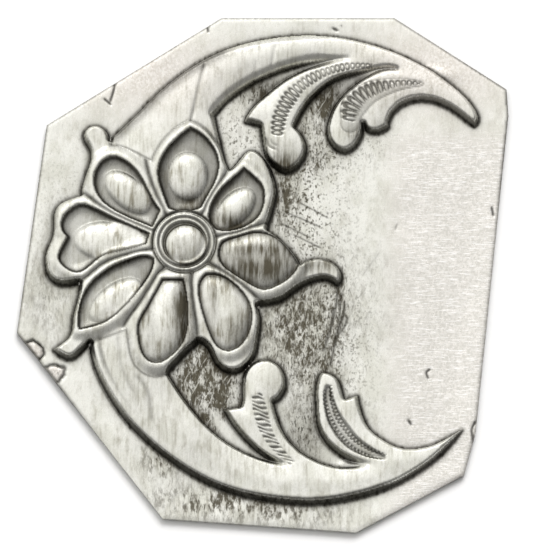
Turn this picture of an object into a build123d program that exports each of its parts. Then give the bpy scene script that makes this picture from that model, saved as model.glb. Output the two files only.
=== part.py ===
"""Struck floral crescent: a thin sheet of silver-coloured metal with a raised western
scrollwork crescent, pressed from behind, so that the back is hollow where the front is raised.

Millimetres.  +Z points out of the raised face, +Y towards the upper horn, +X towards the
open side of the crescent.  The origin is the middle of the footprint, on the flat back.
"""
import os

from build123d import *

# ---- driving dimensions ----------------------------------------------------------------
SHEET = 0.64             # thickness of the rolled sheet, 22 gauge, and of the metal over each hollow
SCROLL_RISE = 1.40       # crescent and leaves above the flat field
FLOWER_RISE = 1.70       # ridges between the petals above the flat field
WELL_DEPTH = 0.60        # petal wells below the ridges
PILLOW_RISE = 0.55       # petal pillows above the floor of their wells
PILLOW_SCALE = 0.80      # outline of a pillow, as a share of its well's outline
PILLOW_ROUND = 0.45      # rounding along the top of a pillow
OUTER_ROUND = 0.70       # rounding along the outer edge of both arms
DENT_SCALE = 0.62        # dent behind each pillow, as a share of its well's outline
HOLLOW_SCALE = 0.92      # hollow behind each petal, as a share of its well's outline
HOLLOW_MARGIN = 1.2      # hollow behind the boss, out from the boss ring
CRACK = 0.06             # gap of the cracks round the torn rim flakes

BOSS_AT = (-8.9, 3.4)    # centre of the flower
BOSS_R = 3.65            # outer edge of the boss ring
BEZEL_R = 2.75           # narrow bead round the dome
DOME_R = 2.35            # dome in the middle of the flower
BOSS_RISE = 0.45         # top of the dome above the petal ridges
RING_EDGE = 0.10         # outer edge of the boss ring below the ridges
RING_CREST = 0.15        # crest of the ring above the ridges
RING_LEAN = 0.10         # crest of the ring outside the ring's middle
BEAD_HALF = 0.14         # half the width of the bead
BEAD_CREST = 0.12        # crest of the bead above the ridges
BEAD_FOOT = 0.05         # foot of the bead below the ridges
GROOVE_WIDTH = 0.08      # level floor of the groove round the dome
GROOVE_DEPTH = 0.30      # that floor below the ridges

SCROLL_Z = SHEET + SCROLL_RISE
FLOWER_Z = SHEET + FLOWER_RISE
WELL_Z = FLOWER_Z - WELL_DEPTH
BOSS_Z = FLOWER_Z + BOSS_RISE
FLOWER_HOLLOW = WELL_Z - SHEET

# ---- outlines: each list is a chain of runs, and a corner stands where two runs meet ----
PLATE = [
    (-24.5, 17.5), (-4.7, 30.1), (14.9, 30.1), (27.6, 21.7), (27.8, 18.7),
    (24.0, -18.5), (22.7, -23.4), (10.5, -30.1), (-11.3, -28.5), (-27.8, -6.8),
]

UPPER_SCROLL = [
    # outer edge of the upper arm, up to its rounded horn
    [(-17.1, 16.0), (-14.7, 18.3), (-12.3, 20.8), (-8.9, 23.7), (-4.0, 26.4), (1.4, 27.7),
     (5.3, 28.0), (11.6, 27.1), (18.3, 24.3), (21.8, 21.8), (23.9, 19.5), (24.4, 18.1), (24.0, 17.3)],
    [(24.0, 17.3), (23.2, 17.8)],
    # underside of the horn, down to the small lobe of the right-hand leaf
    [(23.2, 17.8), (21.7, 19.0), (20.1, 19.9), (18.4, 20.3), (16.6, 20.1), (15.3, 19.4), (14.2, 17.1)],
    [(14.2, 17.1), (13.3, 16.6), (12.3, 16.5), (11.4, 17.5)],
    # bulb and left side of the right-hand leaf
    [(11.4, 17.5), (11.2, 16.2), (10.4, 14.8), (9.3, 14.2), (8.0, 14.8), (7.3, 16.4), (7.6, 18.5),
     (9.6, 21.4), (12.2, 23.2), (15.3, 23.8)],
    # right side of the left-hand leaf
    [(15.3, 23.8), (13.7, 24.0), (11.3, 23.5), (8.9, 22.9), (5.8, 20.7), (3.6, 17.1)],
    [(3.6, 17.1), (4.6, 15.8), (4.9, 14.5), (4.5, 13.2), (3.5, 12.1), (2.5, 11.8), (1.4, 12.4),
     (0.5, 13.4), (0.0, 15.3), (-0.3, 17.3)],
    [(-0.3, 17.3), (-2.1, 17.8)],
    [(-2.1, 17.8), (-1.4, 19.2), (0.2, 20.8), (3.1, 23.0), (5.2, 24.0), (7.5, 24.7), (10.1, 25.0)],
    # inner edge of the arm, back to the foot of the flower
    [(10.1, 25.0), (7.5, 25.0), (4.5, 24.5), (-0.6, 22.6), (-4.4, 19.9), (-5.5, 18.5)],
    [(-5.5, 18.5), (-5.0, 16.1), (-4.6, 14.4), (-4.0, 12.1)],
    [(-4.0, 12.1), (-8.2, 8.5), (-16.2, 10.3), (-17.1, 16.0)],
]

LOWER_SCROLL = [
    # outer edge of the lower arm, round to its sharp horn
    [(-19.5, -8.6), (-19.0, -10.9), (-17.5, -14.1), (-15.5, -17.1), (-12.9, -19.8), (-9.8, -22.3),
     (-6.0, -24.6), (-2.5, -25.9), (1.0, -26.6), (4.2, -26.9), (7.3, -26.8), (10.5, -26.2),
     (13.7, -25.2), (16.8, -23.6), (19.2, -21.9), (21.2, -19.9), (22.5, -18.2)],
    # inner edge of the horn, up to the lobe of the right-hand leaf
    [(22.5, -18.2), (20.8, -19.2), (19.2, -20.0), (17.6, -20.4), (15.3, -20.3), (13.7, -19.5),
     (12.1, -18.2), (11.2, -16.4), (10.7, -14.2)],
    [(10.7, -14.2), (9.2, -14.7)],
    [(9.2, -14.7), (8.9, -13.6), (8.5, -12.5), (7.7, -11.8), (6.6, -11.6), (6.2, -12.3), (6.0, -15.8),
     (6.2, -17.8), (7.0, -19.5), (8.5, -21.0), (12.0, -22.5)],
    # right side and bulb of the left-hand leaf
    [(12.0, -22.5), (10.5, -22.7), (8.9, -22.7), (6.2, -22.0), (4.4, -21.0), (2.7, -19.2),
     (1.7, -17.1), (1.2, -15.1)],
    [(1.2, -15.1), (2.4, -13.8), (2.5, -12.1), (1.7, -10.7), (0.3, -10.1), (-1.2, -10.6),
     (-2.1, -11.8), (-2.3, -13.4), (-2.5, -15.6)],
    [(-2.5, -15.6), (-4.4, -15.9)],
    [(-4.4, -15.9), (-3.3, -17.8), (-1.8, -19.6), (-0.3, -21.0), (2.7, -22.5)],
    # inner edge of the arm, back to the flower
    [(2.7, -22.5), (-0.8, -21.5), (-5.1, -19.0), (-8.6, -15.1), (-10.7, -11.8)],
    [(-10.7, -11.8), (-12.8, -6.7), (-17.3, -5.5), (-19.5, -8.6)],
]

FLOWER = [
    # round knob at the upper left and its stem
    [(-17.4, 14.6), (-17.4, 15.9), (-18.0, 16.9), (-18.9, 17.3), (-20.0, 16.9), (-20.3, 16.0),
     (-19.6, 14.4), (-20.0, 11.8), (-20.6, 9.1)],
    # heart-shaped petal at the left
    [(-20.6, 9.1), (-22.1, 8.6), (-23.3, 7.8), (-23.7, 6.5), (-23.7, 5.0), (-24.0, 3.8), (-24.5, 2.6),
     (-24.6, 1.0), (-24.2, -0.4), (-23.2, -1.2), (-21.8, -1.3), (-20.7, -1.1)],
    # hooked petal at the lower left
    [(-20.7, -1.1), (-21.0, -3.3), (-21.5, -5.3), (-21.8, -7.2), (-22.6, -8.1), (-23.7, -8.9)],
    [(-23.7, -8.9), (-22.9, -9.6), (-21.8, -10.0), (-20.5, -9.1), (-19.5, -8.1)],
    [(-19.5, -8.1), (-18.1, -7.6), (-15.3, -6.5)],
    # lower petal
    [(-15.3, -6.5), (-14.9, -9.1), (-14.2, -11.0), (-12.8, -12.0), (-10.7, -11.6)],
    [(-10.7, -11.6), (-9.5, -10.2), (-8.0, -8.7), (-7.3, -8.0)],
    # cupped petal at the lower right
    [(-7.3, -8.0), (-6.2, -8.7), (-5.5, -10.2), (-4.5, -11.3), (-3.3, -11.6), (-1.9, -10.9),
     (-0.9, -9.5), (-0.5, -7.6), (-0.3, -5.8), (-0.7, -3.8)],
    # right petal and its curled hook
    [(-0.7, -3.8), (0.5, -3.6), (2.0, -3.2), (3.7, -2.0), (5.2, -1.1), (6.7, -0.7), (8.4, -1.4)],
    [(8.4, -1.4), (8.9, -0.5), (8.5, 0.7), (7.3, 1.5), (5.9, 1.7), (4.2, 1.0)],
    [(4.2, 1.0), (3.5, 2.2), (2.1, 3.8), (0.5, 5.0)],
    # upper right petal with its round hood
    [(0.5, 5.0), (0.9, 6.7), (1.4, 8.5), (1.5, 9.8), (1.2, 11.2), (0.5, 12.9), (-0.3, 13.9),
     (-1.4, 14.4), (-2.6, 13.4), (-3.8, 12.1)],
    # upper petal
    [(-3.8, 12.1), (-4.6, 13.7), (-5.8, 15.7), (-8.2, 17.5)],
    [(-8.2, 17.5), (-9.8, 16.6), (-11.1, 15.3), (-12.5, 12.7)],
    [(-12.5, 12.7), (-14.4, 13.7), (-16.3, 14.5), (-17.4, 14.6)],
]

PETAL_WELLS = {
    "upper": [
        [(-8.2, 16.8), (-9.8, 15.5), (-11.3, 13.6), (-11.9, 11.6), (-11.6, 9.8), (-10.7, 7.3)],
        [(-10.7, 7.3), (-8.9, 6.9), (-7.0, 7.4)],
        [(-7.0, 7.4), (-6.1, 9.1), (-5.2, 11.0), (-5.0, 12.9), (-5.9, 15.0), (-8.2, 16.8)],
    ],
    "upper_left": [
        [(-12.5, 5.1), (-13.9, 5.7), (-16.3, 6.8), (-18.1, 8.1), (-19.0, 9.6), (-19.1, 10.9),
         (-18.4, 12.6), (-17.1, 13.4), (-15.4, 12.8), (-14.0, 11.4), (-13.2, 9.9), (-11.6, 7.1)],
        [(-11.6, 7.1), (-12.5, 5.1)],
    ],
    "left": [
        [(-22.1, 4.0), (-22.7, 4.8), (-22.7, 6.0), (-21.9, 7.1), (-20.6, 7.8), (-19.0, 7.3),
         (-17.4, 6.5), (-14.8, 5.3), (-12.8, 4.4)],
        [(-12.8, 4.4), (-13.2, 3.1)],
        [(-13.2, 3.1), (-16.2, 2.3), (-18.8, 1.3), (-19.8, 0.4), (-21.0, -0.2), (-22.3, 0.3),
         (-23.1, 1.4), (-22.8, 2.6), (-22.1, 4.0)],
    ],
    "lower_left": [
        [(-12.3, 1.4), (-13.4, 1.8), (-15.0, 1.4), (-16.9, 0.6), (-18.5, -0.5), (-19.8, -1.9),
         (-20.6, -3.6), (-20.9, -5.5), (-20.8, -6.9)],
        [(-20.8, -6.9), (-19.5, -6.6), (-17.7, -5.9), (-16.2, -4.8), (-14.7, -3.2), (-13.4, -1.4),
         (-12.5, 0.2), (-12.3, 1.4)],
    ],
    "lower": [
        [(-11.4, -0.9), (-12.2, -2.5), (-13.2, -4.4), (-14.1, -6.2), (-14.1, -7.8), (-13.7, -9.5),
         (-12.8, -10.6), (-11.6, -10.7), (-10.3, -9.9), (-9.0, -8.3), (-8.5, -6.3), (-8.5, -3.8),
         (-9.0, -0.9)],
        [(-9.0, -0.9), (-11.4, -0.9)],
    ],
    "lower_right": [
        [(-6.4, -0.3), (-7.2, -1.4), (-7.2, -3.3), (-6.7, -5.3), (-5.9, -7.6), (-5.0, -9.0),
         (-3.8, -9.4)],
        [(-3.8, -9.4), (-2.6, -8.8), (-1.5, -7.0), (-1.2, -5.1), (-1.9, -3.0), (-3.1, -1.6),
         (-4.5, -0.6), (-6.4, -0.3)],
    ],
    "right": [
        [(-5.0, 2.5), (-4.6, 3.4), (-3.1, 4.0), (-0.8, 4.6), (1.4, 4.0), (2.9, 2.6), (4.1, 0.9)],
        [(4.1, 0.9), (3.4, -0.4), (1.7, -1.7), (0.1, -2.2), (-1.6, -1.5), (-3.3, -0.4), (-4.6, 0.7),
         (-5.0, 2.5)],
    ],
    "upper_right": [
        [(-2.1, 12.1), (-3.4, 10.9), (-5.0, 9.3), (-5.9, 7.7), (-6.1, 6.0), (-5.3, 4.8)],
        [(-5.3, 4.8), (-3.6, 4.7), (-1.8, 5.3), (-0.3, 6.7), (0.2, 8.5), (0.0, 9.9), (-0.8, 10.9),
         (-2.1, 12.1)],
    ],
}

# Hollows behind the two arms, then behind their leaves.
ARM_HOLLOWS = [
    [
        [(-15.8, 15.0), (-13.8, 17.4), (-11.8, 20.2), (-8.5, 23.1), (-3.8, 25.7), (1.5, 27.0),
         (5.3, 27.3), (11.4, 26.4), (18.0, 23.7), (21.2, 21.2), (22.9, 19.2)],
        [(22.9, 19.2), (20.4, 20.7), (17.5, 22.0), (13.5, 24.9), (10.5, 25.7), (7.4, 25.7),
         (4.3, 25.2), (-0.9, 23.3), (-4.9, 20.5), (-6.2, 18.3), (-5.9, 16.4)],
        [(-5.9, 16.4), (-8.2, 18.1)],
        [(-8.2, 18.1), (-11.5, 15.9)],
        [(-11.5, 15.9), (-12.7, 13.4)],
        [(-12.7, 13.4), (-15.8, 15.0)],
    ],
    [
        [(-18.6, -8.7), (-18.3, -10.8), (-16.9, -13.8), (-15.0, -16.7), (-12.5, -19.2),
         (-9.4, -21.7), (-5.8, -23.9), (1.1, -25.9), (7.2, -26.1), (13.4, -24.5), (18.6, -21.5),
         (20.6, -19.9)],
        [(20.6, -19.9), (17.5, -21.1), (15.0, -22.4), (12.0, -23.2), (8.8, -23.4), (2.7, -23.2),
         (-1.1, -22.1), (-5.6, -19.5), (-9.2, -15.5), (-11.3, -12.6)],
        [(-11.3, -12.6), (-12.9, -12.7)],
        [(-12.9, -12.7), (-15.1, -11.2)],
        [(-15.1, -11.2), (-15.7, -7.4)],
        [(-15.7, -7.4), (-18.6, -8.7)],
    ],
]

LEAF_HOLLOWS = [
    [
        [(2.5, 12.5), (1.1, 13.8), (0.6, 16.0), (0.0, 18.2), (0.9, 20.4), (3.5, 22.4), (7.7, 24.1),
         (12.0, 25.3)],
        [(12.0, 25.3), (8.7, 23.6), (5.3, 21.2), (3.0, 17.6), (4.0, 15.4), (4.0, 13.8), (2.5, 12.5)],
    ],
    [
        [(9.3, 14.9), (8.1, 16.4), (8.3, 18.5), (10.1, 20.9), (12.8, 22.5), (17.6, 23.3)],
        [(17.6, 23.3), (15.2, 20.9), (13.6, 18.2), (12.1, 18.2), (10.7, 16.6), (9.3, 14.9)],
    ],
    [
        [(0.2, -10.8), (-1.4, -12.1), (-1.7, -14.0), (-2.1, -17.2), (-1.2, -19.1), (0.1, -20.5),
         (3.2, -22.3), (6.4, -23.8)],
        [(6.4, -23.8), (4.0, -21.6), (2.1, -19.5), (1.0, -17.2), (0.6, -15.1), (1.7, -13.7), (1.8, -12.1),
         (0.2, -10.8)],
    ],
    [
        [(6.9, -12.2), (6.7, -15.8), (6.9, -17.6), (7.6, -19.2), (9.0, -20.5), (11.9, -21.6), (15.0, -23.0)],
        [(15.0, -23.0), (13.0, -20.1), (11.5, -18.5), (10.5, -16.6), (9.6, -15.4), (8.3, -14.0), (6.9, -12.2)],
    ],
]

# The left petal's pillow is a plain leaf shape inside its heart-shaped well.
LEFT_PILLOW = [
    [(-13.6, 3.6), (-15.0, 4.8), (-16.7, 5.5), (-18.4, 5.8), (-19.9, 5.3), (-21.0, 3.9)],
    [(-21.0, 3.9), (-20.9, 2.4), (-19.4, 1.6), (-17.1, 2.0), (-15.0, 2.7), (-13.6, 3.6)],
]

# Two flakes torn from the rim at the lower left.  The first two points lie on the rim.
RIM_FLAKES = {
    "rim_flake_upper": [(-26.8, -8.1), (-25.3, -10.0), (-24.8, -9.4), (-24.9, -8.6), (-25.9, -7.8)],
    "rim_flake_lower": [(-24.5, -11.0), (-23.2, -12.6), (-22.5, -11.7), (-22.4, -11.0), (-23.2, -10.7),
                        (-24.0, -10.7)],
}


def outline(runs):
    """Edges of a closed chain of runs: two points make a line, more make a spline."""
    with BuildLine() as boundary:
        for run in runs:
            if len(run) == 2:
                Line(*run)
            else:
                Spline(*run)
    return boundary.edges()


def petal_shape(name, share):
    """Face of one petal's well, shrunk about its own middle."""
    well = make_face(outline(PETAL_WELLS[name]), mode=Mode.PRIVATE)
    return scale(well, by=share, about=well.center(), mode=Mode.PRIVATE)


def top_edges(part, height):
    """Edges of the level faces that lie at the given height."""
    return part.faces().filter_by(Axis.Z).filter_by_position(Axis.Z, height, height).edges()


def pillow(name):
    """Cushion that fills one petal, rounded along its top."""
    with BuildPart() as cushion:
        with BuildSketch(Plane.XY.offset(WELL_Z)):
            if name == "left":
                make_face(outline(LEFT_PILLOW))
            else:
                add(petal_shape(name, PILLOW_SCALE))
        extrude(amount=PILLOW_RISE)
        fillet(top_edges(cushion, WELL_Z + PILLOW_RISE), PILLOW_ROUND)
    return cushion.part


def boss():
    """Ringed dome: a rounded outer ring, a groove, a narrow bead, a groove and the dome."""
    foot = FLOWER_HOLLOW + SHEET / 2
    ring_edge = (BOSS_R, FLOWER_Z - RING_EDGE)
    ring_crest = ((BOSS_R + BEZEL_R) / 2 + RING_LEAN, FLOWER_Z + RING_CREST)
    bead_outside = (BEZEL_R + BEAD_HALF, FLOWER_Z - BEAD_FOOT)
    bead_crest = (BEZEL_R, FLOWER_Z + BEAD_CREST)
    bead_inside = (BEZEL_R - BEAD_HALF, FLOWER_Z - BEAD_FOOT)
    groove_outside = (DOME_R + GROOVE_WIDTH, FLOWER_Z - GROOVE_DEPTH)
    dome_edge = (DOME_R, FLOWER_Z - GROOVE_DEPTH)
    section = Plane(origin=(*BOSS_AT, 0), x_dir=(1, 0, 0), z_dir=(0, -1, 0))
    with BuildPart() as turned:
        with BuildSketch(section):
            with BuildLine():
                Polyline((0, BOSS_Z), (0, foot), (BOSS_R, foot), ring_edge)
                ThreePointArc(ring_edge, ring_crest, bead_outside)
                ThreePointArc(bead_outside, bead_crest, bead_inside)
                Polyline(bead_inside, groove_outside, dome_edge)
                TangentArc((0, BOSS_Z), dome_edge, tangent=(1, 0))
            make_face()
        revolve(axis=Axis((*BOSS_AT, 0), (0, 0, 1)))
    return turned.part


pillows = [pillow(name) for name in PETAL_WELLS]
boss_solid = boss()

with BuildPart() as embossed_sheet:
    # rolled sheet with its clipped corners
    with BuildSketch():
        with BuildLine():
            Polyline(*PLATE, close=True)
        make_face()
    extrude(amount=SHEET)
    # the two arms of the crescent with their leaves, rounded along their outer edges
    for scroll in (UPPER_SCROLL, LOWER_SCROLL):
        with BuildSketch():
            make_face(outline(scroll))
        extrude(amount=SCROLL_Z)
    # longest edges first: the outer edges of both arms
    fillet(top_edges(embossed_sheet, SCROLL_Z).sort_by(SortBy.LENGTH)[-2:], OUTER_ROUND)
    # flower: ridges, then a well and a pillow for each petal, then the boss
    with BuildSketch():
        make_face(outline(FLOWER))
    extrude(amount=FLOWER_Z)
    with BuildSketch(Plane.XY.offset(WELL_Z)):
        for runs in PETAL_WELLS.values():
            make_face(outline(runs))
        with Locations(BOSS_AT):
            Circle(BEZEL_R)
    extrude(amount=WELL_DEPTH, mode=Mode.SUBTRACT)
    add(pillows)
    add(boss_solid)
    # hollow back: the arms, the flower, and a dent behind each pillow and the boss
    with BuildSketch():
        for runs in ARM_HOLLOWS + LEAF_HOLLOWS:
            make_face(outline(runs))
    extrude(amount=SCROLL_RISE, mode=Mode.SUBTRACT)
    with BuildSketch():
        for name in PETAL_WELLS:
            add(petal_shape(name, HOLLOW_SCALE))
        with Locations(BOSS_AT):
            Circle(BOSS_R + HOLLOW_MARGIN)
    extrude(amount=FLOWER_HOLLOW, mode=Mode.SUBTRACT)
    with BuildSketch(Plane.XY.offset(FLOWER_HOLLOW)):
        for name in PETAL_WELLS:
            add(petal_shape(name, DENT_SCALE))
        with Locations(BOSS_AT):
            Circle(DOME_R * DENT_SCALE)
    extrude(amount=PILLOW_RISE, mode=Mode.SUBTRACT)
    # sockets of the torn flakes, wider than the flakes by the crack
    with BuildSketch():
        for corners in RIM_FLAKES.values():
            with BuildLine():
                Polyline(*corners, close=True)
            make_face()
        offset(amount=CRACK, kind=Kind.INTERSECTION, mode=Mode.REPLACE)
    extrude(amount=SHEET, mode=Mode.SUBTRACT)

os.makedirs("parts", exist_ok=True)
embossed_sheet.part.label = "embossed_sheet"
export_step(embossed_sheet.part, "parts/embossed_sheet.step")

for flake_name, corners in RIM_FLAKES.items():
    with BuildPart() as flake:
        with BuildSketch():
            with BuildLine():
                Polyline(*corners, close=True)
            make_face()
        extrude(amount=SHEET)
    flake.part.label = flake_name
    export_step(flake.part, f"parts/{flake_name}.step")
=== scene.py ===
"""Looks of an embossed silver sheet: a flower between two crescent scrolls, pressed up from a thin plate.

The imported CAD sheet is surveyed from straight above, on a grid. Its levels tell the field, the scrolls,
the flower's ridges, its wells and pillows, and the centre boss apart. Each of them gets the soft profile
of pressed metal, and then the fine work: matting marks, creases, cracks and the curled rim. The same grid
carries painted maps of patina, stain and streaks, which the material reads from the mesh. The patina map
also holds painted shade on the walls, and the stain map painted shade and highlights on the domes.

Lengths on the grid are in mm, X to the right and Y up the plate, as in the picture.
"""

import math

import bmesh
import bpy
import numpy as np
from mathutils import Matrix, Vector
from mathutils.bvhtree import BVHTree
from mathutils.geometry import delaunay_2d_cdt


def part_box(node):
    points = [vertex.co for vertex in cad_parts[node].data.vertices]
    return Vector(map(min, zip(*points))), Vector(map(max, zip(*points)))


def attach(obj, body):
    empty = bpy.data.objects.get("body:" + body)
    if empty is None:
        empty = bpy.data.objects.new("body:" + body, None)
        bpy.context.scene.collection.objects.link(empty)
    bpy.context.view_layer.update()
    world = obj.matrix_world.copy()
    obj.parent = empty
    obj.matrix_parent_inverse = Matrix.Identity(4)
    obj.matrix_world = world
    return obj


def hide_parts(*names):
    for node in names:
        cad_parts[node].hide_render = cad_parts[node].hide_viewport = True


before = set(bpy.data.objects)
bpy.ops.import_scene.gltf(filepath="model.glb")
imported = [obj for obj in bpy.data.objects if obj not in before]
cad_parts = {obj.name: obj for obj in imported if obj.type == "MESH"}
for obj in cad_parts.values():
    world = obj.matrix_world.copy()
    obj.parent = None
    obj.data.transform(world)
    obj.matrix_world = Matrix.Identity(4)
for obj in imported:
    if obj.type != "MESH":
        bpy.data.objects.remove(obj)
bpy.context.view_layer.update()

MM = 0.001
SHEET_NODE = "embossed_sheet"
FLAKE_NODES = ("rim_flake_upper", "rim_flake_lower")

# Levels of the CAD sheet, as the survey tells them apart
METAL = 0.3           # higher than this there is metal
FIELD = 0.64
RAISED = 1.0          # higher than this the sheet is pressed up
WELL = 1.74
RIDGE = 2.34
LEVEL_SLACK = 0.03
FLAT_LEAN = 0.99      # upward part of the normal on a level face
CRACK_CLOSING = 0.2   # cracks narrower than twice this don't count as rim

# The survey grid
PITCH = 0.08
MARGIN = 1.2

# Walls and scrolls
WALL_FOOT = 0.15      # how far a wall's foot lies outside the traced outline
WALL_TOP = 0.42       # and how far its shoulder lies inside
WALL_TOP_WIDE = 1.15  # the same on the broad slope of the upper arm
WIDE_BULGE = 2.8      # how roundly that slope rises
HORN_SHARE = 0.15     # how much of that slope the horn's underside has
OUTER_SHARE = 0.10    # and the lower arm's outer wall
SHOAL_FILL = 0.95     # how full a channel is where it runs out
STEP_RUN = 0.25       # half the width of the step from scroll to flower
ARM_HALF = 4.0        # half the width of a crescent arm
ARM_EDGE = 1.88       # height where a scroll's crown starts
ARM_CROWN = 0.27      # how much its middle stands above that
ARM_LIP = 0.08        # height of the lip along the lower arm's outer edge
LIP_GROOVE_AT = 1.15  # how far inside the outline the groove behind that lip lies
LIP_GROOVE_HALF = 0.17
LIP_GROOVE_DEPTH = 0.16

# The flower
RIM_LIP = 0.10        # how far the lip of a petal's rim stands above the ridge
RIM_FALL = 0.32       # how far the rim falls away outside the lip
SEAM_HALF = 0.26      # half-width of the valley between two petals' rims
SEAM_DEPTH = 0.16
PETAL_REACH = 3.0     # how far from a petal its seams are looked for
GROOVE = 1.80         # floor of the groove round a pillow
MOAT_SHARE = 0.55     # where in a deep well's rise the floor is reached
PILLOW_CREST = 2.30   # crest of a pillow in a deep well
DOME_SHARE = 0.16     # where in a full petal's rise its dome begins
FULL_GROOVE = 0.35    # depth of the groove round a full petal's dome
FULL_DOME = 0.68      # rise of a full petal's dome
ROUND_POWER = 0.6     # how roundly wells fall and full domes rise

# The boss
BOSS_R = 3.65
BOSS_FLOOR = 1.82
BOSS_RINGS = [(0.42, 2.62, 0.20), (0.52, 3.20, 0.30)]  # height, radius and half-width of each crest
BOSS_GROOVE_R = 2.88  # dark line between the two crests
DOME_R = 2.35
DOME_RISE = 0.66
DOME_POWER = 0.42
DOME_SHIFT = (0.15, -0.25)

# Fine work
MARK_DEPTH = 0.10
PANEL_DEPTH = 0.30
CREASE_DEPTH = 0.10
CRACK_DEPTH = 0.12
FIELD_WAVE = 0.02     # mean size of the waves in the field
WAVE_LENGTH = 1.6
WAVE_SEED = 7
RIM_CURL = 0.16       # how far the plate's rim lifts at the foot of the plate
RIM_CURL_TOP = 0.06   # and at its head
RIM_REACH = 4.0
EDGE_ROLL = 0.07      # drop of the sheared edge
EDGE_RUN = 0.55
THINNEST = 0.3        # least distance between front and back
BACK_BLUR = 0.35      # how much softer the back is than the front

# Patch sizes in mm2
SMALLEST_WELL = 1.5
SMALLEST_PILLOW = 3.0
LARGEST_PILLOW = 60.0

# Mesh: grid steps between points, by how much goes on there
RIM_CLEARANCE = 0.18
BUSY = 0.6
LESS_BUSY = 0.06
FRONT_STRIDES = (1, 2, 4, 8)
BACK_STRIDES = (5, 10)
SHEET_OUTLINE_STEP = 0.3
FLAKE_OUTLINE_STEP = 0.12
BACK_TONE = 0.25      # value of every painted map on the back

# Camera, as the object is seen in its picture
CAMERA_ELEVATION = 75.0
CAMERA_DISTANCE = 2.5
CAMERA_AIM = (1.36, -0.06, 0.64)
CAMERA_LENS = 1447.0

box_low, box_high = [np.array(corner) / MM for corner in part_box(SHEET_NODE)]
GX = np.arange(box_low[0] - MARGIN, box_high[0] + MARGIN, PITCH)
GY = np.arange(box_low[1] - MARGIN, box_high[1] + MARGIN, PITCH)
X, Y = np.meshgrid(GX, GY)


# -------------------------------- grid tools
def survey(node):
    """Height in mm and upward lean of a CAD node's top, at each grid point."""
    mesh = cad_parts[node].data
    corners = [v.co for v in mesh.vertices]
    tree = BVHTree.FromPolygons(corners, [tuple(p.vertices) for p in mesh.polygons])
    above = Vector((0, 0, 1.0))
    down = Vector((0, 0, -1.0))
    height = np.zeros(X.shape)
    lean = np.zeros(X.shape)
    for row, y in enumerate(GY):
        for column, x in enumerate(GX):
            above.x = x * MM
            above.y = y * MM
            place, normal, _, _ = tree.ray_cast(above, down)
            if place:
                height[row, column] = place.z / MM
                lean[row, column] = normal.z
    return height, lean


def blur(field, sigma):
    """Gaussian blur, sigma in mm."""
    rows = np.fft.fftfreq(field.shape[0], PITCH)[:, None]
    columns = np.fft.rfftfreq(field.shape[1], PITCH)[None, :]
    gain = np.exp(-2 * (math.pi * sigma) ** 2 * (rows**2 + columns**2))
    return np.fft.irfft2(np.fft.rfft2(field) * gain, field.shape)


def shifted(field, steps, axis, fill):
    """The field moved by a number of grid steps."""
    out = np.full(field.shape, fill, float)
    source = [slice(None), slice(None)]
    target = [slice(None), slice(None)]
    size = field.shape[axis]
    source[axis] = slice(max(0, -steps), size - max(0, steps))
    target[axis] = slice(max(0, steps), size - max(0, -steps))
    out[tuple(target)] = field[tuple(source)]
    return out


def reach(mask, limit):
    """Distance in mm to the nearest point of the mask, no more than the limit."""
    steps = int(limit / PITCH)
    upright = np.where(mask, 0.0, limit)
    nearest = upright.copy()
    for k in range(1, steps + 1):
        for way in (-k, k):
            nearest = np.minimum(nearest, shifted(upright, way, 0, limit) + k * PITCH)
    squared = nearest**2
    result = squared.copy()
    for k in range(1, steps + 1):
        for way in (-k, k):
            result = np.minimum(result, shifted(squared, way, 1, limit**2) + (k * PITCH) ** 2)
    return np.sqrt(np.minimum(result, limit**2))


def inside(mask, limit):
    """Signed distance in mm from the mask's edge, positive inside it."""
    return reach(~mask, limit) - reach(mask, limit)


def ramp(value, start, end):
    """0 before start, 1 after end, and a smooth rise between."""
    t = np.clip((value - start) / (end - start), 0, 1)
    return t * t * (3 - 2 * t)


def crest(value, centre, half):
    """1 where the value is the centre, falling away on both sides as a bell curve."""
    return np.exp(-(((value - centre) / half) ** 2))


def swell(mask, sigma, rounds):
    """How a membrane held at the mask's edge rises under even pressure, 0 to 1."""
    rise = np.zeros(mask.shape)
    for _ in range(rounds):
        rise = (blur(rise, sigma) + 1) * mask
    return rise / rise.max()


def islands(mask):
    """A mask for each separate patch of the mask."""
    label = np.zeros(mask.shape, int)
    found = 0
    for seed in zip(*np.nonzero(mask)):
        if label[seed]:
            continue
        found += 1
        label[seed] = found
        edge = [seed]
        while edge:
            row, column = edge.pop()
            for near in ((row + 1, column), (row - 1, column), (row, column + 1), (row, column - 1)):
                if mask[near] and not label[near]:
                    label[near] = found
                    edge.append(near)
    return [label == k for k in range(1, found + 1)]


def patches(mask, smallest, largest=math.inf):
    """The parts of a mask whose area in mm2 is within limits."""
    kept = np.zeros(mask.shape, bool)
    for patch in islands(mask):
        if smallest < patch.sum() * PITCH**2 < largest:
            kept |= patch
    return kept


def at(field, points):
    """The field's value at points in mm, between grid points as needed."""
    u = (points[:, 0] - GX[0]) / PITCH
    v = (points[:, 1] - GY[0]) / PITCH
    i = np.clip(u.astype(int), 0, len(GX) - 2)
    j = np.clip(v.astype(int), 0, len(GY) - 2)
    s = u - i
    t = v - j
    lower = field[j, i] * (1 - s) + field[j, i + 1] * s
    upper = field[j + 1, i] * (1 - s) + field[j + 1, i + 1] * s
    return lower * (1 - t) + upper * t


def flowing(points, steps=24):
    """A smooth curve through given points (Catmull-Rom)."""
    p = np.array([points[0]] + list(points) + [points[-1]], float)
    out = []
    for k in range(1, len(p) - 2):
        for t in np.linspace(0, 1, steps, endpoint=False):
            a = 2 * p[k]
            b = p[k + 1] - p[k - 1]
            c = 2 * p[k - 1] - 5 * p[k] + 4 * p[k + 1] - p[k + 2]
            d = -p[k - 1] + 3 * p[k] - 3 * p[k + 1] + p[k + 2]
            out.append((a + b * t + c * t * t + d * t**3) / 2)
    out.append(p[-2])
    return np.array(out)


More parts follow.
